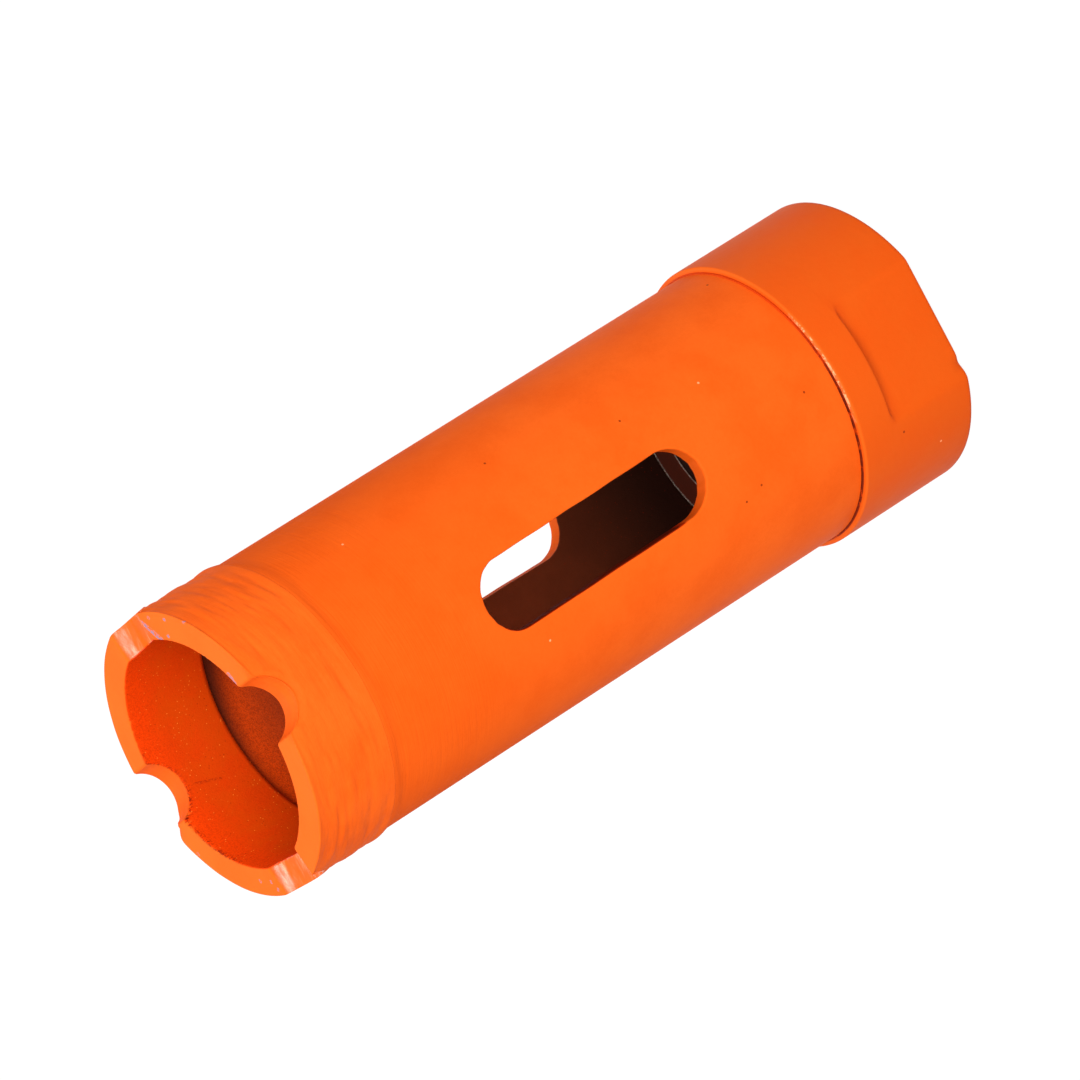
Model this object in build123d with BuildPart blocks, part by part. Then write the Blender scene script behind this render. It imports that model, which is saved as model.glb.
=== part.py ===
from build123d import *
from math import acos, degrees, sin
import os

# A dry diamond core bit for an angle grinder, standing on the end face of its hub.
#
# It is three pieces. The hub is turned steel, with an M14 thread through it, two spanner
# flats and a spigot. The tube is thin steel, with two slots through which a stuck core is
# knocked out. The crown is one sintered diamond ring with notches that let dust and water
# past. The tube sits over the spigot against the hub's shoulder, and the crown is brazed
# to the tube's rim.
#
# Frame: millimetres, +Z up along the axis, origin at the middle of the hub's end face.
# The slots and the spanner flats face -Y and +Y.

os.makedirs("parts", exist_ok=True)

# ---- Driving dimensions ----

# What the bit drills
drill_diameter = 25.0
side_clearance = 0.3  # the crown cuts this much wider than the tube, on each side

# Hub
hub_length = 12.0  # end face to shoulder
shoulder_step = 0.5  # the shoulder stands this far proud of the tube
hub_front_round = 0.35
hub_rear_bevel = 0.3
spigot_length = 4.1  # what reaches into the tube
spigot_bevel = 0.3
braze_gap = 0.05  # between the spigot and the tube, on each side

# Thread, M14 x 2, as its smooth core hole
thread_core_diameter = 12.0
rear_countersink = 1.3
front_countersink = 1.7

# Spanner flats
flat_depth = 1.2
flat_length = 8.7  # measured from the end face
flat_root_round = 0.5

# Tube
tube_wall = 1.5
tube_length = 51.4  # shoulder to crown

# Slots
slot_width = 5.8
slot_length = 23.4
slot_offset = 15.1  # shoulder to the near end of the slot
slot_rim_round = 0.2

# Crown
crown_height = 8.0
crown_thickness = 2.5
crown_back_taper = 0.07  # the crown's rear is narrower by this, on each side
crown_rim_round = 0.35
crown_bore_round = 0.15

# Notches, each ground by a round wheel whose axle lies just beyond the crown's face
notch_count = 4
notch_radius = 2.7
notch_depth = 2.0
notch_lip_round = 0.3
notch_turn = 11.5  # degrees from the slots to the nearest notch

# ---- Sizes that follow ----

crown_radius = drill_diameter / 2
tube_radius = crown_radius - side_clearance
tube_bore_radius = tube_radius - tube_wall
hub_radius = tube_radius + shoulder_step
spigot_radius = tube_bore_radius - braze_gap
thread_radius = thread_core_diameter / 2
crown_bore_radius = crown_radius - crown_thickness

spigot_top = hub_length + spigot_length
slot_middle = hub_length + slot_offset + slot_length / 2
crown_base = hub_length + tube_length
crown_top = crown_base + crown_height


# ---- Hub: a turned profile, then the two milled flats ----

with BuildPart() as hub:
    with BuildSketch(Plane.XZ):
        with BuildLine():
            Polyline(
                (thread_radius + rear_countersink, 0),
                (hub_radius - hub_rear_bevel, 0),
                (hub_radius, hub_rear_bevel),
                (hub_radius, hub_length),
                (spigot_radius, hub_length),
                (spigot_radius, spigot_top - spigot_bevel),
                (spigot_radius - spigot_bevel, spigot_top),
                (thread_radius + front_countersink, spigot_top),
                (thread_radius, spigot_top - front_countersink),
                (thread_radius, rear_countersink),
                close=True,
            )
        make_face()
        shoulder_corner = vertices().sort_by_distance((hub_radius, hub_length))[0]
        fillet(shoulder_corner, hub_front_round)
    revolve(axis=Axis.Z)

    with BuildSketch(Plane.XY):
        with Locations((0, hub_radius), (0, -hub_radius)):
            Rectangle(2 * hub_radius, 2 * flat_depth)
    extrude(amount=flat_length, mode=Mode.SUBTRACT)

    # The cutter leaves a small round where each flat meets its end wall
    flat_roots = hub.edges().filter_by(Axis.X).group_by(Axis.Z)[-1]
    fillet(flat_roots, flat_root_round)


# ---- Tube: a thin wall cut through by a pair of slots ----

with BuildPart() as tube:
    with BuildSketch(Plane.XY.offset(hub_length)):
        Circle(tube_radius)
        Circle(tube_bore_radius, mode=Mode.SUBTRACT)
    extrude(amount=tube_length)

    with BuildSketch(Plane.XZ):
        with Locations((0, slot_middle)):
            SlotOverall(slot_length, slot_width, rotation=90)
    extrude(amount=tube_radius, both=True, mode=Mode.SUBTRACT)

    # The slots' outer rims are the inner wires of the outer wall
    outer_wall = tube.faces().filter_by(GeomType.CYLINDER).sort_by(SortBy.AREA)[-1]
    slot_rims = outer_wall.inner_wires().edges()
    fillet(slot_rims, slot_rim_round)


# ---- Crown: a turned ring with a slight back taper, notched across its cutting face ----

with BuildPart() as crown:
    with BuildSketch(Plane.XZ):
        with BuildLine():
            Polyline(
                (crown_bore_radius, crown_base),
                (crown_radius - crown_back_taper, crown_base),
                (crown_radius, crown_top),
                (crown_bore_radius, crown_top),
                close=True,
            )
        make_face()
        face_corners = vertices().group_by(Axis.Y)[-1].sort_by(Axis.X)
        fillet(face_corners[0], crown_bore_round)
        fillet(face_corners[-1], crown_rim_round)
    revolve(axis=Axis.Z)

    # Each notch is drawn on a plane that faces outwards, level with the cutting face. Its
    # floor is the grinding wheel's arc, and at each lip a small round leads from the face
    # into that arc. A lip turns by lip_angle before it touches the wheel's circle.
    wheel_height = notch_radius - notch_depth
    centre_distance = notch_radius + notch_lip_round
    lip_angle = acos((wheel_height + notch_lip_round) / centre_distance)
    lip_start = centre_distance * sin(lip_angle)
    first_plane = Plane(origin=(0, 0, crown_top), x_dir=(1, 0, 0), z_dir=(0, -1, 0))
    notch_planes = [
        first_plane.rotated((0, 0, notch_turn + 360 * number / notch_count))
        for number in range(notch_count)
    ]
    with BuildSketch(*notch_planes):
        with BuildLine():
            right_lip = JernArc((lip_start, 0), (-1, 0), notch_lip_round, degrees(lip_angle))
            left_lip = JernArc((-lip_start, 0), (1, 0), notch_lip_round, -degrees(lip_angle))
            ThreePointArc(right_lip @ 1, (0, -notch_depth), left_lip @ 1)
            Polyline(
                left_lip @ 0,
                (-lip_start, notch_radius),
                (lip_start, notch_radius),
                right_lip @ 0,
            )
        make_face()
    extrude(amount=drill_diameter, mode=Mode.SUBTRACT)


hub.part.label = "hub"
tube.part.label = "tube"
crown.part.label = "crown"

export_step(hub.part, "parts/hub.step")
export_step(tube.part, "parts/tube.step")
export_step(crown.part, "parts/crown.step")

print("bit stands", round(crown_top, 2), "mm tall")
print("across the flats", round(2 * (hub_radius - flat_depth), 2), "mm")
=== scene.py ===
# %% [markdown]
# # A diamond core bit for tiles
# The bit is three pieces brazed together: a hub with a spindle thread and two spanner flats, a thin tube
# with two slots through which a stuck core is knocked out, and a crown of diamond grit with four notches.
# After brazing it was sprayed orange all over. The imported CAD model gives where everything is, so each
# piece below is made again as a finer surface in the same place, with its soft painted edges, its thread
# and its grind lines, and then painted.

import math

import bpy
import numpy as np
from mathutils import Matrix, Vector


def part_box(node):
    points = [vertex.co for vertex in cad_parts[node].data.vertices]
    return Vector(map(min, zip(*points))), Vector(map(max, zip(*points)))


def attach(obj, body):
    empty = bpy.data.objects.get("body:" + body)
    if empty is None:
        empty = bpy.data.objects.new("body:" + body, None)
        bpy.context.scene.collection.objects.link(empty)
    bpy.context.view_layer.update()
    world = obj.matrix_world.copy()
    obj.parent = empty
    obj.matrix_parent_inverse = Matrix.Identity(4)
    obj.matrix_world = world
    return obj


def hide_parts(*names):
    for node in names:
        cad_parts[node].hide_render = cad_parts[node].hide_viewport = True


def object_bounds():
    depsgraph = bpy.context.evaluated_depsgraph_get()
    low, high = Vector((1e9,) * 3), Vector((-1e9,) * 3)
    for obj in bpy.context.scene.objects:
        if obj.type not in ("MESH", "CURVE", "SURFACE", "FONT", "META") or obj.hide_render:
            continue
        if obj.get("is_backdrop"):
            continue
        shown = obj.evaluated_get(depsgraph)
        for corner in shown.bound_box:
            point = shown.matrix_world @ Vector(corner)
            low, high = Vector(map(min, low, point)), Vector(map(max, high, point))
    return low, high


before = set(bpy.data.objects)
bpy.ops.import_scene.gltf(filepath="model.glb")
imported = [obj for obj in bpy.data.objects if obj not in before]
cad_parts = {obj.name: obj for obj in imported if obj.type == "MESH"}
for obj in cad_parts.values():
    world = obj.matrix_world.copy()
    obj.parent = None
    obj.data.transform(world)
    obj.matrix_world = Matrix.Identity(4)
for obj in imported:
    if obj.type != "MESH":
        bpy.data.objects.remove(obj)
cad_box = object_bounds()

# %% [markdown]
# ## Sizes
# The frame is in metres, and a bit is easier to think about in millimetres, so every shape here is worked
# out in millimetres and turned into metres when its mesh is made. What the frame's boxes can tell is read
# from them. The rest are the sizes a maker would have on the drawing: bores, rounds, the slot and the
# notch.

# %% Sizes
MM = 0.001


def box_mm(node):
    """A node's lowest and highest corners, in millimetres."""
    low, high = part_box(node)
    return np.array(low) / MM, np.array(high) / MM


_, hub_high = box_mm("hub")
tube_low, tube_high = box_mm("tube")
crown_low, crown_high = box_mm("crown")

hub_radius = hub_high[0]
shoulder = tube_low[2]
spigot_top = hub_high[2]
tube_radius = tube_high[0]
tube_top = tube_high[2]
crown_radius = crown_high[0]
crown_base = crown_low[2]
crown_top = crown_high[2]

tube_bore = 10.7
crown_bore = 10.0
crown_back_taper = 0.07
slot_half_width = 2.98
slot_length = 23.45
slot_middle = shoulder + 15.1 + slot_length / 2
slot_lean = math.radians(0.75)
flat_distance = 11.5
flat_length = 8.7
flat_root = 0.7
notch_radius = 2.7
notch_depth = 2.0
notch_lip = 0.32
notch_count = 4
notch_first_angle = math.radians(11.5 - 90)
print(f"bit {crown_top:.1f} mm tall, hub {2 * hub_radius:.1f} mm and tube {2 * tube_radius:.1f} mm across")

# %% [markdown]
# ## Surfaces from numbers
# A surface is a grid of points. On turned work one direction of the grid is the outline that the lathe
# follows, and the other is the angle round the axis. Blender could spin an outline by itself, but then
# flats, notches and grind lines would have to be cut afterwards. With numpy the whole grid is one array, so
# each of those is one more term in the sum.

# %% Outlines, soft corners and wobbles
lattice_rows = 128


def run(start, end, count):
    """A straight stretch of an outline: count points from start towards end, without the end itself."""
    share = np.arange(count)[:, None] / count
    return np.array(start) + share * (np.array(end) - np.array(start))


def bend(centre, radius, first, last, count):
    """A round in an outline: count points on a circle, from angle first towards last in degrees."""
    angle = np.radians(first + (last - first) * np.arange(count) / count)
    return np.stack([centre[0] + radius * np.cos(angle), centre[1] + radius * np.sin(angle)], axis=1)


def soft_least(a, b, width):
    """The smaller of a and b, rounded where they cross: half of (sum less root of difference² + width²)."""
    return (a + b - np.sqrt((a - b) ** 2 + width**2)) / 2


def soft_most(a, b, width):
    """The larger of a and b, rounded where they cross."""
    return -soft_least(-a, -b, width)


def ease(value, low, high):
    """0 below low and 1 above high, with a smooth s-curve (3t² - 2t³) between."""
    t = np.clip((value - low) / (high - low), 0, 1)
    return t * t * (3 - 2 * t)


def wander(angle, seed, turns, count=7):
    """A seeded wobble, about -1 to 1: sine waves that fit a whole number of times round, added up."""
    draw = np.random.default_rng(seed)
    waves = draw.integers(1, turns + 1, count)
    starts = draw.uniform(0, 2 * np.pi, count)
    return sum(np.sin(wave * angle + start) for wave, start in zip(waves, starts)) / math.sqrt(2 * count)


def cloud(height, angle, seed, tall, around):
    """Seeded smooth noise on a wall, -1 to 1: random numbers on a lattice, each eased into the next.

    The lattice's cells are `tall` mm high, and `around` of them go once round the bit.
    """
    lattice = np.random.default_rng(seed).uniform(-1, 1, (lattice_rows, around))
    up, along = height / tall, angle / (2 * np.pi) * around
    row, column = np.floor(up).astype(int), np.floor(along).astype(int)
    up, along = ease(up - row, 0, 1), ease(along - column, 0, 1)
    left, right = column % around, (column + 1) % around
    low, high = ((1 - along) * lattice[r % lattice_rows, left] + along * lattice[r % lattice_rows, right]
                 for r in (row, row + 1))
    return (1 - up) * low + up * high


def degrees_from(angle, place):
    """How far an angle is from a place round the bit, the short way, in degrees."""
    return np.degrees(np.abs(np.angle(np.exp(1j * (angle - math.radians(place))))))


print("a soft least of 1 and 1:", float(soft_least(1.0, 1.0, 0.2)))

# %% Grids to meshes
def grid_quads(rows, columns, rows_close, columns_close):
    """Four-cornered faces between a grid's neighbouring points; a closed direction joins end to start."""
    i = np.arange(rows if rows_close else rows - 1)[:, None]
    j = np.arange(columns if columns_close else columns - 1)[None, :]
    up, along = (i + 1) % rows, (j + 1) % columns
    corners = [i * columns + j, i * columns + along, up * columns + along, up * columns + j]
    return np.stack(np.broadcast_arrays(*corners), axis=-1).reshape(-1, 4)


def round_the_axis(radius, height, angle):
    """Points from a distance to the axis, a height and an angle, which may all be whole grids."""
    radius, height, angle = np.broadcast_arrays(radius, height, angle)
    return np.stack([radius * np.cos(angle), radius * np.sin(angle), height], axis=-1)


def outward(points, quads):
    """The faces turned so that they enclose a positive volume, which is one pyramid a triangle added up."""
    a, b, c, d = (points[quads[:, k]] for k in range(4))
    volume = np.einsum("ij,ij->", a, np.cross(b, c) + np.cross(c, d)) / 6
    return quads if volume > 0 else quads[:, ::-1]


def make_piece(name, points, quads, stands_for=None, marks=None):
    """A smooth mesh in metres that rides on the bit's only body; marks are numbers its finish can read."""
    points = points.reshape(-1, 3)
    mesh = bpy.data.meshes.new(name)
    mesh.from_pydata((points * MM).tolist(), [], outward(points, quads).tolist())
    mesh.polygons.foreach_set("use_smooth", np.ones(len(quads), bool))
    for mark, values in (marks or {}).items():
        attribute = mesh.attributes.new(mark, "FLOAT", "POINT")
        attribute.data.foreach_set("value", values.ravel().astype(np.float32))
    mesh.update()
    piece = bpy.data.objects.new(name, mesh)
    bpy.context.scene.collection.objects.link(piece)
    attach(piece, "root")
    if stands_for:
        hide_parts(stands_for)
    print(f"{name}: {2 * len(quads):,} triangles, {np.ptp(points, axis=0).round(2)} mm")
    return piece


# %% [markdown]
# ## Hub
# The hub is turned from bar: a back face, a wall, a rounded front corner, a shoulder, and a spigot that the
# tube slides over. Then two flats are milled for a 23 mm spanner, with a round left by the cutter in each
# root. A boolean could cut the flats, but it would leave a hard edge where spray paint leaves a soft one.
# Here a flat is a limit on how far from the axis a point may be, so each row of the outline carries that
# limit beside its own radius and height, and the edge comes out soft by itself.

# %% Hub outline
hub_back_bevel = 0.05
hub_front_round = 0.22
flat_softness = 0.07
spigot_radius = 10.65
spigot_bevel = 0.3
thread_crest = 6.0
back_countersink = 1.3
front_countersink = 1.7
end_wall_lean = 0.05
no_flat = 40.0


def limited(outline, limit):
    """Rows of radius, height and the flat's distance from the axis at that height."""
    return np.column_stack([outline, np.broadcast_to(limit, len(outline))])


def hub_rows():
    """The hub's closed outline: back face, wall along the flat, collar, shoulder, spigot and bore."""
    back_edge = hub_radius - hub_back_bevel
    back_mouth = thread_crest + back_countersink
    front_wall = shoulder - hub_front_round
    front_corner = hub_radius - hub_front_round
    front_mouth = thread_crest + front_countersink
    spigot_edge = spigot_radius - spigot_bevel
    spigot_wall_top = spigot_top - spigot_bevel
    thread_top = spigot_top - front_countersink
    bevel_limit = flat_distance - hub_back_bevel * np.array([1, 0.7, 0.3])
    root_start = flat_length - flat_root
    root = bend((flat_distance + flat_root, root_start), flat_root, 180, 90, 8)
    collar_start = flat_length + end_wall_lean
    return np.concatenate([
        limited(run((back_mouth, 0), (back_edge, 0), 16), flat_distance - hub_back_bevel),
        limited(run((back_edge, 0), (hub_radius, hub_back_bevel), 3), bevel_limit),
        limited(run((hub_radius, hub_back_bevel), (hub_radius, root_start), 26), flat_distance),
        limited(np.column_stack([np.full(8, hub_radius), root[:, 1]]), root[:, 0]),
        limited(run((hub_radius, flat_length), (hub_radius, collar_start), 9),
                np.linspace(flat_distance + flat_root, hub_radius + 0.4, 9)),
        limited(run((hub_radius, collar_start), (hub_radius, front_wall), 14), no_flat),
        limited(bend((front_corner, front_wall), hub_front_round, 0, 90, 9), no_flat),
        limited(run((front_corner, shoulder), (spigot_radius, shoulder), 8), no_flat),
        limited(run((spigot_radius, shoulder), (spigot_radius, spigot_wall_top), 8), no_flat),
        limited(run((spigot_radius, spigot_wall_top), (spigot_edge, spigot_top), 4), no_flat),
        limited(run((spigot_edge, spigot_top), (front_mouth, spigot_top), 9), no_flat),
        limited(run((front_mouth, spigot_top), (thread_crest, thread_top), 10), no_flat),
        limited(run((thread_crest, thread_top), (thread_crest, back_countersink), 78), no_flat),
        limited(run((thread_crest, back_countersink), (back_mouth, 0), 8), no_flat),
    ])


hub_outline = hub_rows()
print(f"hub outline: {len(hub_outline)} rows")

# %% [markdown]
# The spindle thread is M14 with a 2 mm pitch, right-handed. Cut in a bore, it is a groove whose depth
# depends on one number alone: how many turns a point is along the screw, its height over the pitch less its
# angle over a full turn. Where the countersinks at the two mouths are wider than the thread, they win.

# %% Hub surface
thread_pitch = 2.0
thread_root = 7.05
thread_flat = 0.125
thread_flank = 0.3125
thread_softness = 0.04
hub_columns = 432
nick_angle = -110
nick_depth = 0.27
nick_spread = 2.4  # degrees
nick_height = 0.5


def thread_radius(height, angle):
    """The bore's radius: the crest, plus the groove's depth where the screw's turn is away from the crest."""
    turn = height / thread_pitch - angle / (2 * np.pi)
    from_crest = np.abs((turn - thread_flat) - np.round(turn - thread_flat))
    depth = np.clip((from_crest - thread_flat) / thread_flank, 0, 1)
    return thread_crest + (thread_root - thread_crest) * depth


def hub_surface():
    """The outline carried round the axis, held inside the flats, with the thread in its bore and one dent."""
    angle = np.linspace(-np.pi, np.pi, hub_columns, endpoint=False)[None, :]
    radius, height, limit = (hub_outline[:, k, None] for k in range(3))
    back_mouth = thread_crest + back_countersink
    back_edge = hub_radius - hub_back_bevel
    flat = limit / np.maximum(np.abs(np.sin(angle)), 0.01)
    whole = np.maximum(radius, back_edge)
    held = soft_least(whole, flat, flat_softness)
    outside = np.where(radius > back_mouth, back_mouth + (radius - back_mouth)
                       * (held - back_mouth) / (whole - back_mouth), radius)
    away = degrees_from(angle, nick_angle) / nick_spread
    dent = nick_depth * np.exp(-(away ** 2) - (height / nick_height) ** 2)
    outside = outside - dent * ease(outside, 10.5, 11.3)
    bore = soft_most(radius, thread_radius(height, angle), thread_softness)
    in_bore = (radius < thread_crest + max(front_countersink, back_countersink) - 0.01) & (limit == no_flat)
    return round_the_axis(np.where(in_bore, bore, outside), height, angle)


hub_points = hub_surface()
hub = make_piece("hub_body", hub_points, grid_quads(*hub_points.shape[:2], True, True), "hub")

# %% [markdown]
# ## Tube
# The tube is a rolled sheet with two slots. A tube with holes isn't one simple grid, and a boolean would
# leave thin slivers round the slots. Instead each half of the tube is a grid that runs round its slot: one
# direction follows the slot's outline, and the other starts on the inner skin at the half's border, comes
# in to the slot, goes through its wall, and returns on the outer skin to the same border. The two halves
# and two end rings share their border points, which are then joined.

# %% Slot paths
end_band = 1.2
corner_count = 26
arc_count = 92
side_count = 54


def slot_columns():
    """Round the slot: centre line height, outward direction, and where the border is met that way."""
    side = tube_radius * np.pi / 2
    top_centre = slot_middle + slot_length / 2 - slot_half_width
    low_centre = slot_middle - slot_length / 2 + slot_half_width
    top_room, low_room = tube_top - end_band - top_centre, low_centre - shoulder - end_band
    top_corner, low_corner = math.atan2(top_room, side), math.atan2(low_room, side)
    top = np.concatenate([np.linspace(0, top_corner, corner_count, endpoint=False),
                          np.linspace(top_corner, np.pi - top_corner, arc_count, endpoint=False),
                          np.linspace(np.pi - top_corner, np.pi, corner_count + 1)])
    low = np.concatenate([np.linspace(np.pi, np.pi + low_corner, corner_count, endpoint=False),
                          np.linspace(np.pi + low_corner, 2 * np.pi - low_corner, arc_count, endpoint=False),
                          np.linspace(2 * np.pi - low_corner, 2 * np.pi, corner_count + 1)])
    down = np.linspace(top_centre, low_centre, side_count + 2)[1:-1]
    turn = np.concatenate([top, np.full(side_count, np.pi), low, np.zeros(side_count)])
    centre = np.concatenate([np.full(len(top), top_centre), down, np.full(len(low), low_centre), down[::-1]])
    across, along = np.cos(turn), np.sin(turn)
    room = np.where(along > 0, top_room, low_room)
    reach = np.minimum(side / np.maximum(np.abs(across), 1e-9), room / np.maximum(np.abs(along), 1e-9))
    return centre, across, along, reach * across / tube_radius, centre + reach * along


centre, across, along, border_angle, border_height = slot_columns()
print(f"round each slot: {len(centre)} columns")

# %% Tube surface
slot_rim_round = 0.22
slot_inner_round = 0.08
slot_uneven = 0.022
slot_seed = 61
slot_placings = ((0, -0.09, -0.12), (np.pi, -0.28, -0.15))  # turned round, aside, raised
inner_count = 34
outer_count = 58
skin_sink = 0.02
braze_reach = 0.85
joint_groove = 0.16


def seam_radius(angle):
    """The radius where tube and crown meet, the same for both, since braze filled the step between."""
    return crown_radius - crown_back_taper + 0.02 * wander(angle, 24, 45, 12)


def tube_skin(height, angle):
    """The outer skin's radius: braze filling up to the crown, and a narrow groove at the hub's shoulder."""
    reach = braze_reach * (1 + 0.4 * cloud(0 * height, angle, 22, 0.5, 26))
    fill = (seam_radius(angle) - tube_radius + skin_sink) * np.exp(-((tube_top - height) / reach) ** 2)
    groove = joint_groove * (1 - ease(height - shoulder, 0.04, 0.16 + 0.03 * cloud(height, angle, 23, 9, 90)))
    return tube_radius - skin_sink + fill - groove


def half_tube(turned_round, aside, raised):
    """One half: from the border along the inner skin, round the slot's rims, and out along the outer."""
    round_slot = np.linspace(0, 2 * np.pi, len(centre), endpoint=False)
    uneven = slot_uneven * wander(round_slot, slot_seed + round(turned_round), 34)

    def skin(inset, radius_there, share):
        """Angle and height of a row: `inset` outside the slot, then a share of the way to the border."""
        wide = (slot_half_width + inset + uneven) * across
        tall = centre - slot_middle + (slot_half_width + inset + uneven) * along
        x = aside + wide * math.cos(slot_lean) - tall * math.sin(slot_lean)
        z = slot_middle + raised + wide * math.sin(slot_lean) + tall * math.cos(slot_lean)
        start = np.arcsin(x / radius_there)
        return start + share * (border_angle - start), z + share * (border_height - z)

    def spaced(count):
        """Shares from the slot to the border, closer together at both ends."""
        t = np.linspace(0, 1, count + 1)[1:]
        return 0.6 * (1 - np.cos(np.pi * t)) / 2 + 0.4 * t

    rows = []
    for share in spaced(inner_count)[::-1]:
        angle, height = skin(slot_inner_round, tube_bore, share)
        rows.append((angle, height, np.full_like(angle, tube_bore)))
    rim = np.concatenate([
        bend((slot_inner_round, tube_bore + slot_inner_round), slot_inner_round, -90, -180, 3),
        run((0, tube_bore + slot_inner_round), (0, tube_radius - slot_rim_round), 6),
        bend((slot_rim_round, tube_radius - slot_rim_round), slot_rim_round, 180, 90, 8),
        [(slot_rim_round, tube_radius)]])
    for inset, radius in rim:
        angle, height = skin(inset, radius, 0)
        rows.append((angle, height, np.full_like(angle, radius - skin_sink * ease(radius, 11.5, 12.2))))
    for share in spaced(outer_count):
        angle, height = skin(slot_rim_round, tube_radius, share)
        rows.append((angle, height, tube_skin(height, angle - np.pi / 2 + turned_round)))
    angle, height, radius = (np.array(part) for part in zip(*rows))
    return round_the_axis(radius, height, angle - np.pi / 2 + turned_round)


def tube_end(end, inwards, turned_round):
    """One end over one half: along the outer skin to the end, across its face, and back along the bore."""
    border = end + inwards * end_band
    angle = border_angle[np.isclose(border_height, border)] - np.pi / 2 + turned_round
    steps = np.concatenate([np.linspace(end_band, 0.3, 9), np.linspace(0.3, 0, 13)[1:]])
    skin = end + inwards * steps[:, None]
    face = tube_skin(end, angle) + np.linspace(0, 1, 4)[1:, None] * (tube_bore - tube_skin(end, angle))
    bore = end + inwards * np.linspace(0, end_band, 4)[1:, None]
    radius = np.concatenate([tube_skin(skin, angle), face, np.full((3, len(angle)), tube_bore)])
    height = np.concatenate([skin, np.full((3, 1), end), bore])
    return round_the_axis(radius, height, angle)


def joined(grids):
    """Grids as one mesh: each is points and whether its columns close; points in one place become one."""
    points = np.concatenate([grid.reshape(-1, 3) for grid, _ in grids])
    starts = np.cumsum([0] + [grid.shape[0] * grid.shape[1] for grid, _ in grids])
    quads = np.concatenate([grid_quads(*grid.shape[:2], False, closes) + start
                            for (grid, closes), start in zip(grids, starts)])
    _, first, same = np.unique(np.round(points, 4) + 0.0, axis=0, return_index=True, return_inverse=True)
    return points[first], same.reshape(-1)[quads]


def same_way(grid, towards):
    """The grid with its columns reversed if its first face looks away from a direction."""
    a, b, c = grid[0, 0], grid[0, 1], grid[1, 1]
    return grid if np.dot(np.cross(b - a, c - b), towards) > 0 else grid[:, ::-1]


def inner_way(grid):
    """The grid turned so that its first face, which is on the inner skin, looks towards the axis."""
    return same_way(grid, -grid[0, 0] * (1, 1, 0))


halves = [(inner_way(half_tube(*placed)), True) for placed in slot_placings]
ends = [tube_end(end, inwards, turned)
        for end, inwards in ((shoulder, 1), (tube_top, -1)) for turned in (0, np.pi)]
ends = [(same_way(grid, grid[0, 0] * (1, 1, 0)), False) for grid in ends]
tube_points, tube_quads = joined(halves + ends)
tube = make_piece("tube_body", tube_points, tube_quads, "tube")

# %% [markdown]
# ## Crown
# The crown is pressed from diamond grit and metal powder, and ground round. Its notches are cut straight
# across the ring with a round wheel, so on its own a notch is a circle's arc with small rounds at its lips.
# In the grid, the columns inside a notch run straight along the wheel's cut, and those between two notches
# fan out, so that every lip is one clean line of points. A point near the rim sinks by the notch's depth,
# and one at the base stays.

# %% Notch columns
notch_edge = math.sqrt((notch_radius + notch_lip) ** 2 - (notch_radius - notch_depth + notch_lip) ** 2)
lip_turn = math.degrees(math.acos((notch_radius - notch_depth + notch_lip) / (notch_radius + notch_lip)))


def notch_section():
    """Across one notch: sideways place and depth, by way of a lip, the wheel's arc and the other lip."""
    wheel = (0, notch_radius - notch_depth)
    lips = [bend((side * notch_edge, -notch_lip), notch_lip, first, last, 8)
            for side, first, last in ((-1, 90, 90 - lip_turn), (1, 90 + lip_turn, 90))]
    arc = bend(wheel, notch_radius, 270 - lip_turn, 270 + lip_turn, 44)
    section = np.concatenate([lips[0], arc, lips[1], [(notch_edge, 0)]])
    return section[:, 0], -section[:, 1]


def crown_columns(radius):
    """Each column's angle at every radius, and how deep the notch is there."""
    sideways, depth = notch_section()
    turn = 2 * np.pi / notch_count
    inside = np.arcsin(sideways / radius)
    share = np.linspace(0, 1, 68)[1:-1]
    between = inside[:, -1:] + share * (turn + inside[:, :1] - inside[:, -1:])
    one = np.concatenate([inside, between], axis=1)
    sunk = np.concatenate([depth, np.zeros(len(share))])
    angles = [notch_first_angle + k * turn + one for k in range(notch_count)]
    return np.concatenate(angles, axis=1), np.tile(sunk, notch_count)[None, :]


print(f"a notch is {2 * notch_edge:.2f} mm wide between its lips, which turn {lip_turn:.0f} degrees")

# %% [markdown]
# The crown's wall was ground, which leaves fine uneven lines round it, and the paint didn't fill them. The
# widest ones are in the mesh, as noise of a few scales, stretched round the bit. The finer ones come later,
# in the finish.

# %% Crown surface
crown_rim_round = 0.08
crown_bore_round = 0.16
lip_height = 1.2  # how far down from the face wear reaches
grind_scales = ((0.34, 50, 0.032, 31), (0.58, 36, 0.066, 32), (0.95, 25, 0.08, 33), (2.1, 12, 0.05, 34))
ragged_places = ((118, 20, 0.10), (60, 22, 0.05), (-170, 30, 0.05), (-35, 60, 0.03))
worn_lips = ((114.3, 3.1, 0.6, 0.36), (-78.5, 12, 0.2, 0.22), (-66, 5, 0.1, 0.1), (-92, 4, 0.08, 0.1))


def crown_rows():
    """The crown's closed outline: ground wall, rim round, cutting face, bore round, bore and back face."""
    rim = crown_radius - crown_rim_round
    back = crown_radius - crown_back_taper
    bore_rim = crown_bore + crown_bore_round
    return np.concatenate([
        run((back, crown_base), (crown_radius, crown_top - crown_rim_round), 96),
        bend((rim, crown_top - crown_rim_round), crown_rim_round, 0, 90, 9),
        run((rim, crown_top), (bore_rim, crown_top), 14),
        bend((bore_rim, crown_top - crown_bore_round), crown_bore_round, 90, 180, 5),
        run((crown_bore, crown_top - crown_bore_round), (crown_bore, crown_base), 24),
        run((crown_bore, crown_base), (back, crown_base), 4),
    ])


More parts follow.
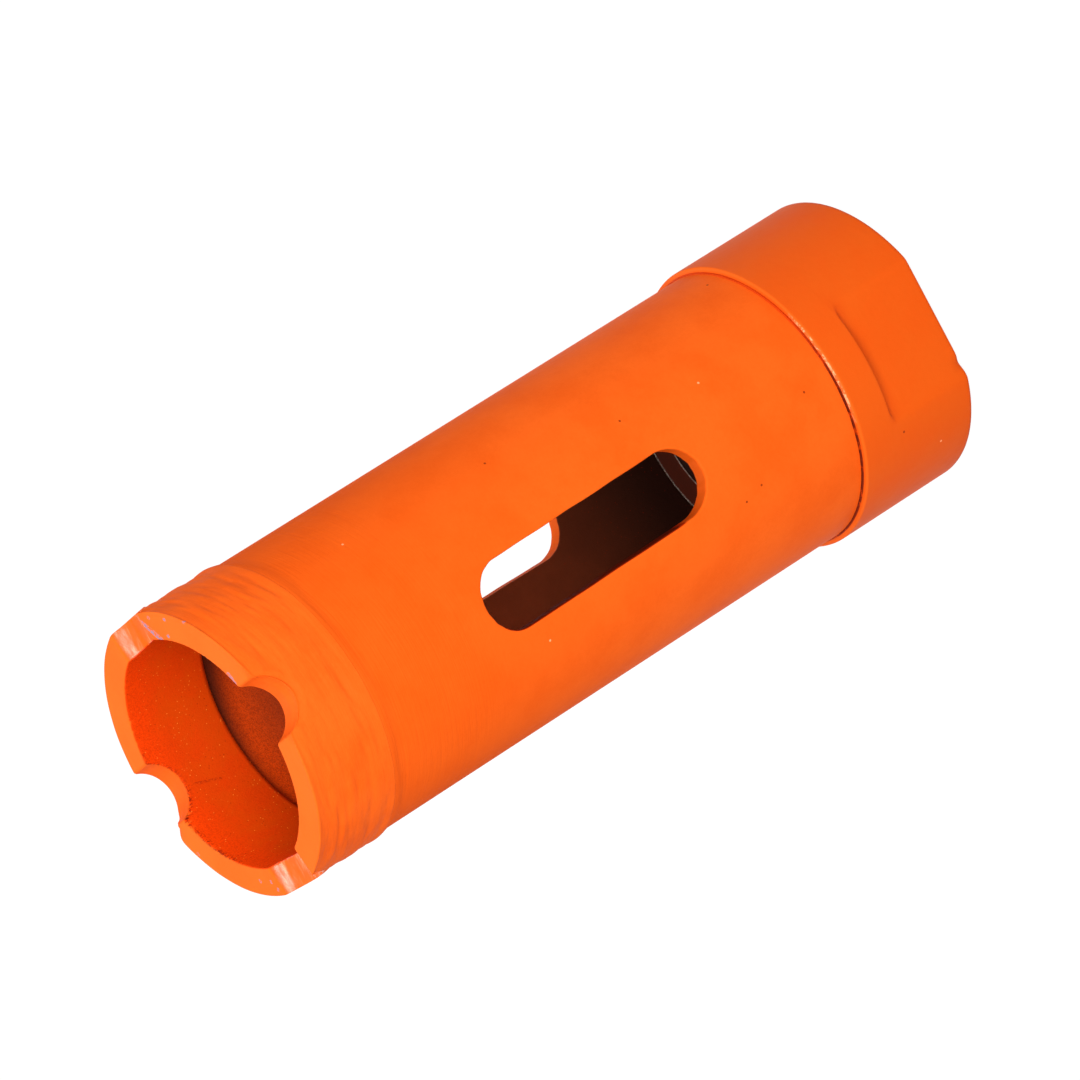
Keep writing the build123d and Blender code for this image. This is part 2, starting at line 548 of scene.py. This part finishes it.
def grind_lines(height, angle):
    """What grinding left on the wall: noise stretched round the bit, in a few scales that lean a little."""
    leaning = height + 0.35 * np.sin(angle) + 0.35 * cloud(height, angle, 35, 2.5, 13)
    return sum(size * cloud(leaning, angle, seed, tall, around) for tall, around, size, seed in grind_scales)


def crown_surface():
    """The outline carried round, sunk at the notches, uneven at its rims, with the widest grind lines."""
    outline = crown_rows()
    radius, height = outline[:, 0, None], outline[:, 1, None]
    angle, sunk = crown_columns(radius)
    near_rim = ease(height, crown_base + 0.5, crown_top - 0.6)
    wall = ease(radius, crown_radius - 0.5, crown_radius - 0.1)
    bore_edge = ease(crown_bore + 0.3 - radius, 0, 0.3) * ease(height, crown_top - 0.9, crown_top - 0.1)
    worn = [np.exp(-((degrees_from(angle, place) / spread) ** 2)) for place, spread, _, _ in worn_lips]
    lip_in = sum(inward * share for (_, _, inward, _), share in zip(worn_lips, worn))
    lip_down = sum(down * share for (_, _, _, down), share in zip(worn_lips, worn))
    outer_half = ease(radius, crown_radius - 1.3, crown_radius - 0.1)
    ragged = sum(size * np.exp(-((degrees_from(angle, place) / spread) ** 2))
                 for place, spread, size in ragged_places)
    chipped = ragged * np.maximum(wander(angle, 42, 150, 24) + 0.15, 0) * bore_edge
    low_face = np.maximum(0.014 * (1 + wander(angle, 43, 9)) + 0.012 * cloud(radius * 8, angle, 44, 6, 70), 0)
    sinking = sunk + low_face + lip_down * outer_half * ease(height, crown_top - lip_height, crown_top)
    new_height = height - (sinking + 0.6 * chipped) * near_rim
    above_seam = ease(height, crown_base + 0.05, crown_base + 0.9)
    ground = soft_least(grind_lines(new_height, angle) - 0.07, 0, 0.03)
    lines = ground * above_seam * ease(crown_top - height, 0, 0.3)
    seam = (seam_radius(angle) - crown_radius + crown_back_taper) * (1 - above_seam)
    lip_loss = lip_in * outer_half * ease(height, crown_top - lip_height, crown_top)
    rim_loss = 0.012 * (1 + wander(angle, 41, 23)) * wall * ease(height, crown_top - lip_height, crown_top)
    new_radius = radius + (lines + seam) * wall - lip_loss - rim_loss + chipped
    on_face = ease(height, crown_top - 0.3, crown_top - 0.1)
    marks = {"notch": ease(sunk, 0.05, 0.5) * on_face + 0 * angle,
             "bore_edge": np.exp(-((radius - crown_bore) / 0.16) ** 2) * on_face + 0 * angle}
    return round_the_axis(new_radius, new_height, angle), marks


crown_points, crown_marks = crown_surface()
crown = make_piece("crown_ring", crown_points, grid_quads(*crown_points.shape[:2], True, True),
                   "crown", crown_marks)

# %% [markdown]
# ## Paint in the joint
# Where the tube meets the hub's shoulder, spray paint filled most of the joint on one side of the bit and
# only bridged it here and there on the other, which leaves a dark crack. It is a thin bead of its own: a
# circle carried round the joint, whose size swells and shrinks with a few wobbles, down to almost nothing
# where the crack is open.

# %% Paint bead
bead_columns = 1300
bead_rows = 12
filled_side = -8.0
bridge_places = (-104, -121, -126, -137, -142, -156, -163, -171)


def bead_surface():
    """A circle carried round the joint; its radius is a fill on one side, bridges and a wobble added up."""
    angle = np.linspace(-np.pi, np.pi, bead_columns, endpoint=False)[None, :]
    turn = np.linspace(0, 2 * np.pi, bead_rows, endpoint=False)[:, None]
    filled = 1 - ease(degrees_from(angle, filled_side), 42, 92)
    bridges = sum(np.exp(-((degrees_from(angle, place) / 0.8) ** 2)) for place in bridge_places)
    size = 0.025 + 0.075 * filled + 0.07 * np.clip(bridges, 0, 1) + 0.012 * wander(angle, 51, 70, 14)
    lumps = 0.05 * filled * np.maximum(cloud(0 * angle, angle, 52, 1, 120), 0)
    size = np.maximum(size + lumps, 0.012)
    radius = tube_radius - 0.12 + 0.09 * filled + size * np.cos(turn)
    height = shoulder + 0.07 + 0.012 * wander(angle, 53, 30) + size * np.sin(turn)
    return round_the_axis(radius, height, angle)


bead_points = bead_surface()
bead = make_piece("joint_paint", bead_points, grid_quads(bead_rows, bead_columns, True, True))

# %% [markdown]
# ## Shader maths as plain sums
# A finish is a tree of nodes, and a tree is hard to read as code. So one small class wraps a node's output
# and takes over the arithmetic signs: a + b adds a Math node and gives its output. Everything that isn't
# arithmetic comes from one method, add, which takes the node's type, its settings and what goes into its
# sockets.

# %% Signal and Finish
class Signal:
    """One output of a finish's node tree, which can be added, multiplied and compared like a number."""

    def __init__(self, finish, socket):
        self.finish, self.socket = finish, socket

    def math(self, operation, *others, flipped=False):
        """A Math node on this signal and others."""
        terms = [self, *others]
        return self.finish.add("ShaderNodeMath", {"operation": operation}, terms[::-1] if flipped else terms)

    def __add__(self, other):
        return self.math("ADD", other)

    def __sub__(self, other):
        return self.math("SUBTRACT", other)

    def __rsub__(self, other):
        return self.math("SUBTRACT", other, flipped=True)

    def __mul__(self, other):
        return self.math("MULTIPLY", other)

    def __truediv__(self, other):
        return self.math("DIVIDE", other)

    def __pow__(self, other):
        return self.math("POWER", other)

    __radd__, __rmul__ = __add__, __mul__

    def most(self, other):
        """The larger of this signal and another."""
        return self.math("MAXIMUM", other)

    def ramp(self, low, high, to_low=0.0, to_high=1.0):
        """This signal eased from one range to another; low may be above high, which turns it round."""
        settings = {"interpolation_type": "SMOOTHSTEP"}
        if low > high:
            low, high, to_low, to_high = high, low, to_high, to_low
        return self.finish.add("ShaderNodeMapRange", settings, [self, low, high, to_low, to_high])


class Finish:
    """The node tree of a material or a world: its places in millimetres, and a shader at the end."""

    def __init__(self, owner):
        self.owner = owner
        self.owner.use_nodes = True
        self.tree = self.owner.node_tree
        self.tree.nodes.clear()
        self.count = 0

    def add(self, kind, settings=None, inputs=(), output=0):
        """A node of a type: settings first, then its sockets, in order or by name, as values or signals."""
        node = self.tree.nodes.new(kind)
        for key, value in (settings or {}).items():
            setattr(node, key, value)
        for key, value in inputs.items() if isinstance(inputs, dict) else enumerate(inputs):
            if isinstance(value, Signal):
                self.tree.links.new(value.socket, node.inputs[key])
            elif value is not None:
                node.inputs[key].default_value = value
        self.count += 1
        return Signal(self, node.outputs[output]) if node.outputs else None

    def place(self):
        """Where a point is on the bit, in millimetres, from Object coordinates."""
        here = self.add("ShaderNodeTexCoord", output="Object")
        return self.add("ShaderNodeVectorMath", {"operation": "SCALE"}, {0: here, "Scale": 1 / MM})

    def mark(self, name):
        """A number that a piece's mesh carries at its points."""
        return self.add("ShaderNodeAttribute", {"attribute_name": name}, output="Fac")

    def stretched(self, place, across, up):
        """The place scaled: noise then has `across` lumps a millimetre sideways and `up` upwards."""
        return self.add("ShaderNodeMapping", None, {"Vector": place, "Scale": (across, across, up)})

    def noise(self, place, scale, detail=2.0, roughness=0.5):
        """Cloudy noise, 0 to 1, with `scale` lumps a millimetre."""
        inputs = {"Vector": place, "Scale": scale, "Detail": detail, "Roughness": roughness}
        return self.add("ShaderNodeTexNoise", {"noise_dimensions": "3D"}, inputs)

    def grains(self, place, scale, size):
        """Sparse round grains: 1 at the middle of some cells and 0 beyond `size` of a cell from it."""
        cells = self.add("ShaderNodeTexVoronoi", {"feature": "F1"}, {"Vector": place, "Scale": scale})
        return cells.ramp(size, 0.4 * size)

    def mixed(self, first, second, share):
        """Two colours mixed by a share."""
        node = {"data_type": "RGBA", "blend_type": "MIX"}
        return self.add("ShaderNodeMix", node, {"Factor": share, 6: first, 7: second}, output=2)

    def shader(self, colour, roughness, height, gloss):
        """Principled shader at the end: colour, roughness, a bump height in millimetres, and its gloss."""
        bump = self.add("ShaderNodeBump", None, {"Height": height, "Distance": MM, "Strength": 1.0})
        inputs = {"Base Color": colour, "Roughness": roughness, "Normal": bump, **gloss}
        surface = self.add("ShaderNodeBsdfPrincipled", None, inputs)
        self.add("ShaderNodeOutputMaterial", None, {"Surface": surface})
        print(f"{self.owner.name}: {self.count} nodes")


# %% [markdown]
# ## Orange paint
# One paint was sprayed over everything. It dries with a faint orange peel, lumps about half a millimetre
# across and a few thousandths high, over grains of dust a tenth of a millimetre across. Its colour is
# nearly even, a little deeper where it lies thick. The three finishes share this, and each adds what its
# own piece has, along with some painted shade and painted highlights.

# %% Paint shared by the three finishes
orange = (0.82, 0.115, 0.009, 1)
hub_orange = (0.71, 0.094, 0.005, 1)
deep_orange = (0.72, 0.079, 0.003, 1)
shade_orange = (0.55, 0.035, 0.001, 1)
lit_orange = (0.86, 0.168, 0.018, 1)
glint_orange = (1.0, 0.5, 0.24, 1)
sparkle_orange = (1.0, 0.34, 0.05, 1)
bore_red = (0.78, 0.05, 0.001, 1)
bore_brown = (0.84, 0.073, 0.0003, 1)
grit_brown = (0.66, 0.066, 0.001, 1)
dull_red = (0.42, 0.022, 0.001, 1)
dark_red = (0.1, 0.005, 0.002, 1)
crack_red = (0.2, 0.018, 0.006, 1)
wall_brown = (0.09, 0.007, 0.001, 1)
brown_steel = (0.36, 0.065, 0.021, 1)
black_steel_and_shadow = (0.033, 0.0095, 0.0055, 1)
spigot_brown = (0.13, 0.03, 0.017, 1)
worn_edge_glint = (1.0, 0.88, 0.75, 1)
chip_blue = (0.24, 0.21, 0.32, 1)
open_joint = -135.0


def start_paint(part):
    """A part's finish, with a point's place, its three coordinates and its distance from the axis."""
    finish = Finish(bpy.data.materials.new(part + "_orange_paint"))
    place = finish.place()
    x, y, z = (finish.add("ShaderNodeSeparateXYZ", None, [place], output=k) for k in range(3))
    return finish, place, x, y, z, (x * x + y * y) ** 0.5


def peel(finish, place):
    """Orange peel and dust under the paint, as a height in millimetres."""
    lumps = finish.noise(place, 1.4, 2.0, 0.45)
    dust = finish.noise(place, 7.0, 2.0, 0.6)
    return lumps * 0.02 + dust * 0.0035


def tinted(finish, place, paint):
    """The paint's own colour, a little deeper in slow patches and in a fine grain."""
    patches = finish.noise(place, 0.2, 3.0, 0.6).ramp(0.35, 0.7)
    grain = finish.noise(place, 3.6, 3.0, 0.75).ramp(0.3, 0.75)
    return finish.mixed(paint, deep_orange, patches * 0.4 + grain * 0.25)


def spots(finish, place, centres, size):
    """1 within `size` millimetres of any of a few places, given as radius, angle in degrees and height."""
    share = None
    for radius, angle, height in centres:
        turn = math.radians(angle)
        middle = (radius * math.cos(turn), radius * math.sin(turn), height)
        away = finish.add("ShaderNodeVectorMath", {"operation": "DISTANCE"}, [place, middle], output="Value")
        near = away.ramp(size, 0.55 * size)
        share = near if share is None else share.most(near)
    return share


def row_of(first, last, count):
    """Places evenly from one to another, each a radius, an angle in degrees and a height."""
    first, last = np.array(first), np.array(last)
    return [tuple(first + share * (last - first)) for share in np.linspace(0, 1, count)]


def facing(x, y, radius, angle, from_degrees, to_degrees):
    """0 further than from_degrees round the bit from an angle, and 1 nearer than to_degrees."""
    turn = math.radians(angle)
    cosine = (x * math.cos(turn) + y * math.sin(turn)) / radius
    return cosine.ramp(math.cos(math.radians(from_degrees)), math.cos(math.radians(to_degrees)))


def crack(finish, place, x, y, radius):
    """How open the joint of hub and tube is: open on one side, bridged here and there, closed behind."""
    bridged = finish.noise(place, 1.3, 2.0, 0.6).ramp(0.4, 0.5)
    fine = finish.noise(place, 3.0, 2.0, 0.6).ramp(0.52, 0.6)
    return facing(x, y, radius, open_joint, 78, 34) * bridged.most(fine)


# The larger marks, each a radius, an angle in degrees and a height
hub_pits = ((12.7, -120.7, 7.6),)
hub_glints = ((12.7, -135.5, 3.5),)
tube_pits = ((12.2, -110.6, 24.25), (12.2, -108, 22.4), (12.2, -42.3, 42), (12.2, -22.9, 13.6),
             (12.2, -86.4, 15.1), (12.2, -58, 30.5))
tube_glints = ((12.2, -61.9, 22.6), (12.2, -39, 56.5), (12.2, -115, 46.1))
crown_pits = ((10, 104, 69.5), (10, 106, 69.7), (10, 112, 70.3), (10, 116, 71), (10, 118, 71.4),
              (10, 132, 71.3))
crown_seam = row_of((10, 105.2, 68.6), (10, 109.4, 66.4), 18)
crown_streaks = (*row_of((11.6, -1.9, 71.4), (10.7, -6.8, 71.4), 5),
                 *row_of((10.5, -7.9, 71.4), (10.1, -10.6, 71.4), 3),
                 *row_of((10.3, -56.5, 71.35), (10.1, -60.3, 71.3), 3))
crown_chips = ((12, -8.1, 71.4), (12.4, -30.2, 71.35), (12.1, 128.1, 71.4), (11.9, 176, 71.4),
               (11.2, 166, 71.4), (11.2, 173.8, 71.4), (12, -18.4, 71.4), (10.5, -17.2, 71.4))


def paint_hub():
    """Paint on the hub's outside; spigot and thread have only the mist that blew in, over dark steel."""
    finish, place, x, y, z, radius = start_paint("hub")
    colour = tinted(finish, place, hub_orange)
    dark = spots(finish, place, hub_pits, 0.14)
    light = spots(finish, place, hub_glints, 0.13)
    colour = finish.mixed(finish.mixed(colour, dark_red, dark * 0.7), glint_orange, light * 0.7)
    # Painted light: the shoulder's ledge, which faces the lamps, is mixed towards a lighter orange.
    ledge = z.ramp(shoulder - 0.3, shoulder - 0.02) * radius.ramp(tube_radius - 0.1, tube_radius)
    colour = finish.mixed(colour, lit_orange, ledge * 0.25)
    # Painted shade in the joint of tube and shoulder, darkest where the crack is open.
    gap = radius.ramp(tube_radius + 0.15, tube_radius + 0.09) * z.ramp(shoulder - 0.1, shoulder - 0.02)
    colour = finish.mixed(colour, shade_orange, gap * 0.85)
    colour = finish.mixed(colour, crack_red, gap * crack(finish, place, x, y, radius))
    # Painted highlights: glints in patches of noise on the ledge's outer rim, on the side that faces the
    # front lamp.
    rim = radius.ramp(tube_radius + 0.12, tube_radius + 0.2)
    ledge_rim = ledge * (rim * radius.ramp(hub_radius - 0.04, hub_radius - 0.14))
    lit_side = facing(x, y, radius, -82, 27, 12)
    chipped = finish.noise(place, 2.2, 3.0, 0.7).ramp(0.46, 0.56) * 0.85
    colour = finish.mixed(colour, glint_orange, ledge_rim * lit_side * (chipped + 0.1))
    # Painted shade on each flat beside the collar's edge, widest in the middle.
    root_end = facing(x, y, radius, -89, 33, 20).most(facing(x, y, radius, 91, 33, 20))
    root = root_end * z.ramp(6.9, 8.5) * z.ramp(8.82, 8.72) * radius.ramp(hub_radius + 0.1, hub_radius - 0.15)
    colour = finish.mixed(colour, shade_orange, root * 0.3)
    mist = finish.noise(place, 0.8, 4.0, 0.7)
    bare = radius.ramp(9.0, 6.6) * z.ramp(0.2, 2.5)
    within = z.ramp(shoulder + 0.2, shoulder + 0.6)
    colour = finish.mixed(colour, spigot_brown, bare.most(within) * (0.86 + mist * 0.2))
    colour = finish.mixed(colour, black_steel_and_shadow, radius.ramp(7.7, 7.64) * z.ramp(1.5, 4))
    # The worn edges of the spigot and of its countersink are real, and are painted bright as glints: a
    # painted highlight.
    outer_line = radius.ramp(10.12, 10.2)
    inner_line = radius.ramp(7.64, 7.68) * radius.ramp(7.78, 7.74)
    dashes = finish.noise(place, 3.2, 3.0, 0.7).ramp(0.47, 0.53)
    worn = outer_line.most(inner_line * 0.6) * z.ramp(spigot_top - 0.4, spigot_top - 0.25)
    worn = worn * (dashes * 0.6 + 0.4)
    colour = finish.mixed(colour, worn_edge_glint, worn * 0.8)
    finish.shader(colour, 0.48 + mist * 0.08, peel(finish, place), {"Specular IOR Level": 0.05})
    return finish.owner


def paint_tube():
    """Paint on the tube's outside and slot edges, thinning inside to bare dark steel with dust on it."""
    finish, place, x, y, z, radius = start_paint("tube")
    colour = finish.mixed(tinted(finish, place, orange), deep_orange, z.ramp(34, 60) * 0.4)
    dark = spots(finish, place, tube_pits, 0.13)
    light = spots(finish, place, tube_glints, 0.13)
    colour = finish.mixed(finish.mixed(colour, dark_red, dark * 0.75), glint_orange, light * 0.6)
    # Painted shade in the joint at the hub's shoulder, darkest where the crack is open.
    gap = z.ramp(shoulder + 0.17, shoulder + 0.09)
    colour = finish.mixed(colour, shade_orange, gap * 0.8)
    colour = finish.mixed(colour, crack_red, gap * crack(finish, place, x, y, radius))
    grain = finish.noise(place, 5.0, 3.0, 0.75)
    clouds = finish.noise(place, 0.35, 4.0, 0.65)
    steel = finish.mixed(black_steel_and_shadow, brown_steel, z.ramp(17, 41) * (0.7 + clouds * 0.5))
    reached = z.ramp(46, 66) ** 1.4
    mist = (reached * 0.85 + (grain - 0.5) * 0.3).ramp(0.02, 0.95)
    rough = (grain * 0.35 + finish.noise(place, 11.0, 2.0, 0.7) * 0.65).ramp(0.42, 0.62)
    steel = finish.mixed(steel, finish.mixed(bore_brown, dark_red, rough * 0.55), mist)
    # Painted shadow in the bore just behind the crown's step, reaching further on the +x side.
    steel = finish.mixed(steel, black_steel_and_shadow, (z + x * 0.14).ramp(tube_top - 2.6, tube_top - 0.1) * 0.9)
    steel = finish.mixed(steel, dull_red, finish.grains(place, 3.1, 0.2) * clouds.ramp(0.45, 0.6) * 0.35)
    unsprayed = (x * -1).ramp(1.9, 2.7) * (y * -1).ramp(3, 6)
    unsprayed = unsprayed * radius.ramp(tube_radius - 0.02, tube_radius - 0.09) * z.ramp(29.8, 31.4)
    inside = radius.ramp(tube_bore + 0.14, tube_bore + 0.03)
    colour = finish.mixed(colour, dull_red, unsprayed.ramp(0.02, 0.5))
    colour = finish.mixed(colour, steel, inside)
    colour = finish.mixed(colour, wall_brown, unsprayed.ramp(0.6, 1) * 0.9)
    lines = finish.noise(finish.stretched(place, 0.16, 3.4), 1.0, 3.0, 0.6) * z.ramp(48, 56) * 0.05
    lines = lines * radius.ramp(tube_bore + 0.1, tube_bore + 0.5)
    height = peel(finish, place) + lines + grain * inside * 0.05
    finish.shader(colour, 0.48 + grain * 0.06 + z.ramp(20, 60) * 0.2, height, {"Specular IOR Level": 0.025})
    return finish.owner


def paint_crown():
    """Paint over the ground crown: lines on its wall, chips on its face, grit inside, glossy notches."""
    finish, place, x, y, z, radius = start_paint("crown")
    colour = tinted(finish, place, orange)
    wall = radius.ramp(crown_radius - 0.4, crown_radius - 0.15)
    # Painted light: the cutting face is mixed towards a lighter orange.
    face = z.ramp(crown_top - 0.2, crown_top - 0.05)
    colour = finish.mixed(colour, lit_orange, face * 0.3)
    grain = finish.noise(place, 5.5, 3.0, 0.75)
    inside = radius.ramp(crown_bore + 0.12, crown_bore + 0.03)
    fine = finish.noise(place, 9.0, 2.0, 0.7)
    grit = finish.mixed(bore_red, dull_red, (grain * 0.5 + fine * 0.5).ramp(0.42, 0.66) * 0.55)
    uneven = finish.noise(place, 0.45, 3.0, 0.6).ramp(0.35, 0.65)
    # Painted shade: the grit turns browner deeper into the bore, in uneven patches.
    grit = finish.mixed(grit, grit_brown, z.ramp(crown_top - 1, crown_top - 4) * (0.35 + uneven * 0.5))
    sparkle = finish.grains(place, 3.0, 0.16) * finish.noise(place, 0.9, 2.0, 0.6).ramp(0.44, 0.56)
    grit = finish.mixed(grit, dark_red, finish.grains(place, 2.4, 0.17) * uneven * 0.6)
    # Painted shade: darker still deeper into the bore.
    grit = finish.mixed(grit, dull_red, z.ramp(crown_top - 0.5, crown_top - 3.5) * 0.3)
    colour = finish.mixed(colour, finish.mixed(grit, sparkle_orange, sparkle * 0.7), inside)
    torn = finish.noise(place, 4.5, 3.0, 0.7).ramp(0.47, 0.56)
    torn_sides = facing(x, y, radius, 128, 32, 20) + facing(x, y, radius, 89, 12, 5) * 0.6
    edge = finish.mark("bore_edge") * torn_sides
    pits = spots(finish, place, crown_pits, 0.3)
    seam = spots(finish, place, crown_seam, 0.15) * (torn * 0.3 + 0.06)
    colour = finish.mixed(colour, dark_red, (edge * torn * 0.75).most(pits * torn * inside).most(seam))
    chips = spots(finish, place, crown_chips, 0.22).most(spots(finish, place, crown_streaks, 0.33))
    chips = chips * finish.noise(place, 4.0, 3.0, 0.7).ramp(0.42, 0.54)
    colour = finish.mixed(colour, chip_blue, chips * 0.85)
    notch = finish.mark("notch") * (x * x).ramp(50, 80)
    along = {"Vector": place, "Location": (0, 2.4, 0), "Scale": (0.25, 1.9, 1.9)}
    streaks = finish.noise(finish.add("ShaderNodeMapping", None, along), 1.0, 3.0, 0.6)
    # Painted highlights: pale streaks in the notches. The coat set further down adds real gloss there.
    colour = finish.mixed(colour, glint_orange, notch * streaks.ramp(0.55, 0.75) * 0.35)
    lines = finish.noise(finish.stretched(place, 0.42, 3.0), 1.0, 4.0, 0.65)
    height = peel(finish, place) + wall * lines * 0.035 + inside * grain * 0.04
    coat = notch * streaks.ramp(0.35, 0.6) * 0.7
    gloss = {"Specular IOR Level": 0.03, "Coat Weight": coat, "Coat Roughness": 0.22}
    finish.shader(colour, 0.55 + grain * 0.1, height, gloss)
    return finish.owner


for piece, finish in ((hub, paint_hub()), (tube, paint_tube()), (crown, paint_crown())):
    piece.data.materials.append(finish)
bead.data.materials.append(hub.data.materials[0])

# %% [markdown]
# ## Floor, light and camera
# The bit stands on its hub on a plain white floor. The floor and the world are white to the camera by their
# colour, not by more light: Light Path tells rays from the camera and from reflections apart from the rest.
# A share of the floor's own shading stays, so that the bit keeps its shadow. Seen from below, the floor
# lets the camera through.

# %% Floor and world
floor_grey = (0.45, 0.45, 0.45, 1)
floor_lit = 0.32
shadow_share = 0.2
world_level = 0.34


def white_for_viewers(finish):
    """1 for rays from the camera, and for those it sees by reflection or through glass."""
    seen = [finish.add("ShaderNodeLightPath", output=name)
            for name in ("Is Camera Ray", "Is Glossy Ray", "Is Transmission Ray")]
    return seen[0].most(seen[1]).most(seen[2])


def lay_floor():
    """A wide square just under the hub's back face."""
    half, drop = 0.9, 0.00015
    corners = [(-half, -half, -drop), (half, -half, -drop), (half, half, -drop), (-half, half, -drop)]
    mesh = bpy.data.meshes.new("floor")
    mesh.from_pydata(corners, [], [(0, 1, 2, 3)])
    floor = bpy.data.objects.new("floor", mesh)
    bpy.context.scene.collection.objects.link(floor)
    finish = Finish(bpy.data.materials.new("white_floor"))
    lit = finish.add("ShaderNodeBsdfDiffuse", None, {"Color": floor_grey})
    fill = (1 - shadow_share * floor_lit) / (1 - shadow_share)
    glow = finish.add("ShaderNodeEmission", None, {"Color": (1, 1, 1, 1), "Strength": fill})
    white = white_for_viewers(finish) * (1 - shadow_share)
    plain = finish.add("ShaderNodeMixShader", None, [white, lit, glow])
    under = finish.add("ShaderNodeNewGeometry", output="Backfacing")
    clear = finish.add("ShaderNodeBsdfTransparent")
    surface = finish.add("ShaderNodeMixShader", None, [under, plain, clear])
    finish.add("ShaderNodeOutputMaterial", None, {"Surface": surface})
    mesh.materials.append(finish.owner)
    floor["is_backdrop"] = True
    return floor


def light_world():
    """An even white world: 1 to the camera and reflections, and about a third of that as light."""
    finish = Finish(bpy.data.worlds.new("white_room"))
    strength = white_for_viewers(finish) * (1 - world_level) + world_level
    light = finish.add("ShaderNodeBackground", None, {"Color": (1, 1, 1, 1), "Strength": strength})
    finish.add("ShaderNodeOutputWorld", None, {"Surface": light})
    bpy.context.scene.world = finish.owner


lay_floor()
light_world()
print(f"world at {world_level}, floor keeps {shadow_share:.0%} of its shading")

# %% [markdown]
# Four soft lamps stand round the bit. The strong one near the camera gives the band of light along it, and
# the weaker ones at its sides and behind it keep the rest from falling dark. The camera looks along a long
# lens, and is turned on its side, so that the upright bit lies across the picture.

# %% Lamps and camera
view_azimuth = 8.164
view_elevation = 31.047
view_roll = 122.435
view_aim = (0.371, 0.053, 35.844)
view_distance = 703.18
lens_length = 294.79
sensor_width = 36
softbox_distance = 420
softbox_size = 240
# Each softbox: side, azimuth, elevation and power
softboxes = (("front", 3, 35, 2.15), ("right", 104, 38, 0.5), ("left", -102, 38, 0.35),
             ("back", 172, 48, 0.85))


def direction(azimuth, elevation):
    """The way from the bit to a viewer, from degrees round from the front and degrees above the floor."""
    a, e = math.radians(azimuth), math.radians(elevation)
    return Vector((math.sin(a) * math.cos(e), -math.cos(a) * math.cos(e), math.sin(e)))


def add_lamp(name, azimuth, elevation, power):
    """A square softbox that faces the middle of the bit."""
    lamp = bpy.data.lights.new(name, "AREA")
    lamp.size, lamp.energy = softbox_size * MM, power
    holder = bpy.data.objects.new(name, lamp)
    back = direction(azimuth, elevation)
    holder.location = Vector(view_aim) * MM + back * softbox_distance * MM
    holder.rotation_euler = back.to_track_quat("Z", "Y").to_euler()
    bpy.context.scene.collection.objects.link(holder)


def add_camera():
    """The camera, level first and then rolled about its own line of sight."""
    lens = bpy.data.cameras.new("camera")
    lens.lens, lens.sensor_width = lens_length, sensor_width
    lens.clip_start, lens.clip_end = 0.05, 10
    camera = bpy.data.objects.new("camera", lens)
    back = direction(view_azimuth, view_elevation)
    level = back.to_track_quat("Z", "Y").to_matrix().to_4x4()
    roll = Matrix.Rotation(math.radians(-view_roll), 4, "Z")
    place = Matrix.Translation(Vector(view_aim) * MM + back * view_distance * MM)
    camera.matrix_world = place @ level @ roll
    bpy.context.scene.collection.objects.link(camera)
    bpy.context.scene.camera = camera
    bpy.context.scene.view_settings.view_transform = "Standard"


for side, azimuth, elevation, power in softboxes:
    add_lamp(side + "_softbox", azimuth, elevation, power)
add_camera()

# %% [markdown]
# ## Box and finish
# The CAD model's box and the dressed bit's box are both printed, in millimetres.

# %% Both boxes
boxes = {"cad": [list(corner) for corner in cad_box], "visual": [list(corner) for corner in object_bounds()]}
in_mm = {name: [[round(v / MM, 2) for v in corner] for corner in box] for name, box in boxes.items()}
print("boxes in mm:", in_mm)
